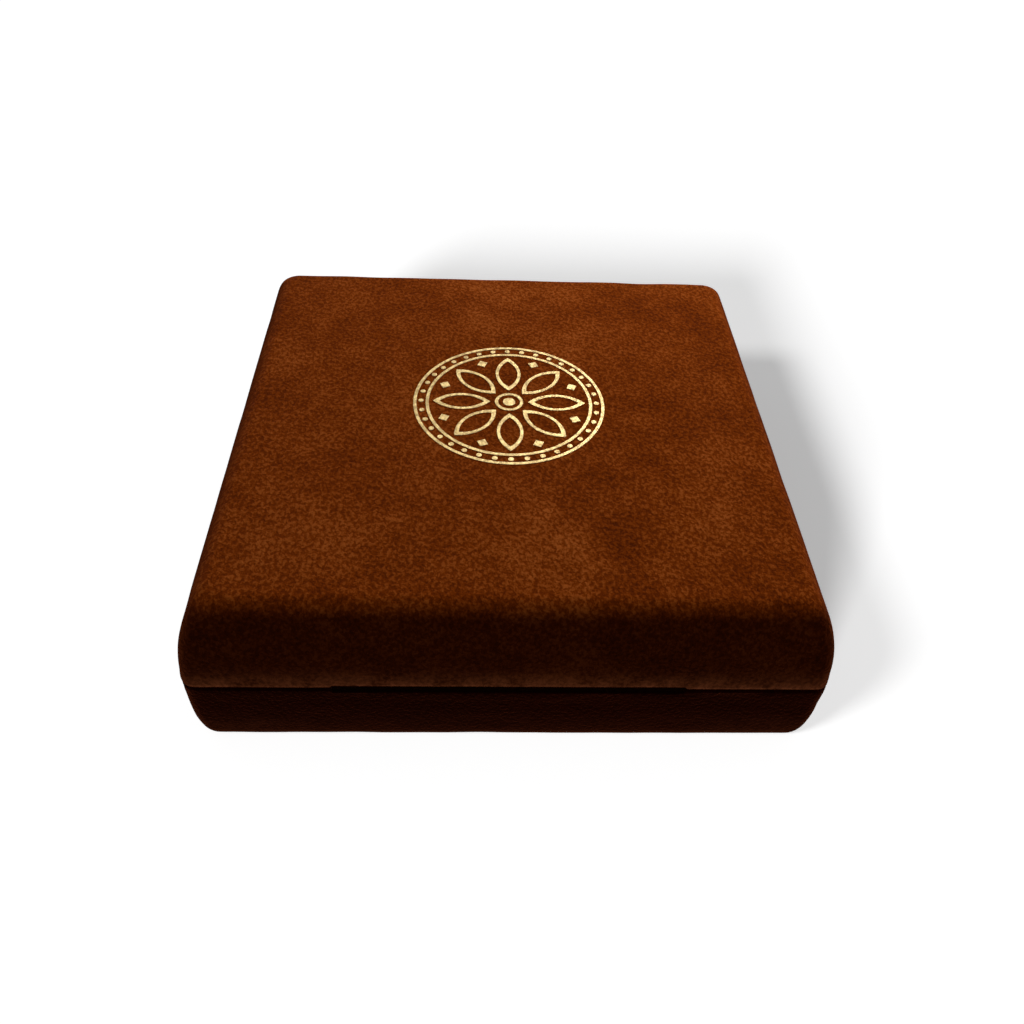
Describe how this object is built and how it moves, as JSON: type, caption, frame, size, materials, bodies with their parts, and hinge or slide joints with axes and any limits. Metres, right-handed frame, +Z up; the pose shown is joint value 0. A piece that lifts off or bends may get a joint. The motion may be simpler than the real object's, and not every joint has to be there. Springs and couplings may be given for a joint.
{
  "type": "coin presentation case",
  "caption": "Square velvet-covered clamshell case with a sprung hinged lid, a padded lid lining and a platform with a round coin well.",
  "frame": {"origin": "middle of the underside of the base, on the surface the case stands on", "axes": "+Z up, -Y towards the front with the finger slot, the hinge is at +Y, +X to the right seen from the front"},
  "size_m": [0.09, 0.0915, 0.027],
  "materials": {
    "rust_velvet": "short pile rust brown velvet, mottled nap",
    "inner_velvet": "short pile rust brown velvet",
    "pressed_steel": "pressed tinned sheet",
    "collar_card": "grey-brown board",
    "insert_plastic": "flocked moulded plastic",
    "hinge_brass": "satin brass-plated sheet",
    "spring_steel": "blued spring steel",
    "pad_foam": "soft foam",
    "ivory_satin": "smooth ivory satin",
    "gold_foil": "hot stamped pale gold foil"
  },
  "bodies": {
    "base": {"base_shell": "pressed_steel", "base_velvet_cover": "rust_velvet", "collar_card": "collar_card", "collar_velvet": "inner_velvet", "platform_core": "insert_plastic", "platform_board": "collar_card", "platform_velvet": "inner_velvet", "well_sleeve": "inner_velvet", "well_floor_board": "collar_card", "well_floor_velvet": "inner_velvet", "hinge_leaf_base": "hinge_brass", "hinge_pin": "hinge_brass", "base_leaf_rivets": "hinge_brass", "base_spring_pins": "spring_steel"},
    "lid": {"lid_shell": "pressed_steel", "lid_velvet_cover": "rust_velvet", "lining_board": "collar_card", "lining_foam": "pad_foam", "lining_satin": "ivory_satin", "foil_emblem": "gold_foil", "hinge_leaf_lid": "hinge_brass", "lid_leaf_rivets": "hinge_brass", "lid_spring_pins": "spring_steel"},
    "snap_springs": {"snap_spring_left": "spring_steel", "snap_spring_right": "spring_steel"}
  },
  "joints": [
    {"name": "lid_hinge", "type": "hinge", "parent": "base", "child": "lid", "pos_m": [0, 0.0452, 0.0129], "axis": [-1, 0, 0], "range_deg": [0, 100], "deforming": ["snap_spring_left", "snap_spring_right"]},
    {"name": "snap_springs_swing", "type": "hinge", "parent": "base", "child": "snap_springs", "pos_m": [0, 0.04181, 0.0036], "axis": [-1, 0, 0], "range_deg": [0, 42]}
  ],
  "couplings": [
    {"joint": "snap_springs_swing", "follows": "lid_hinge", "ratio": 0.41936}
  ]
}
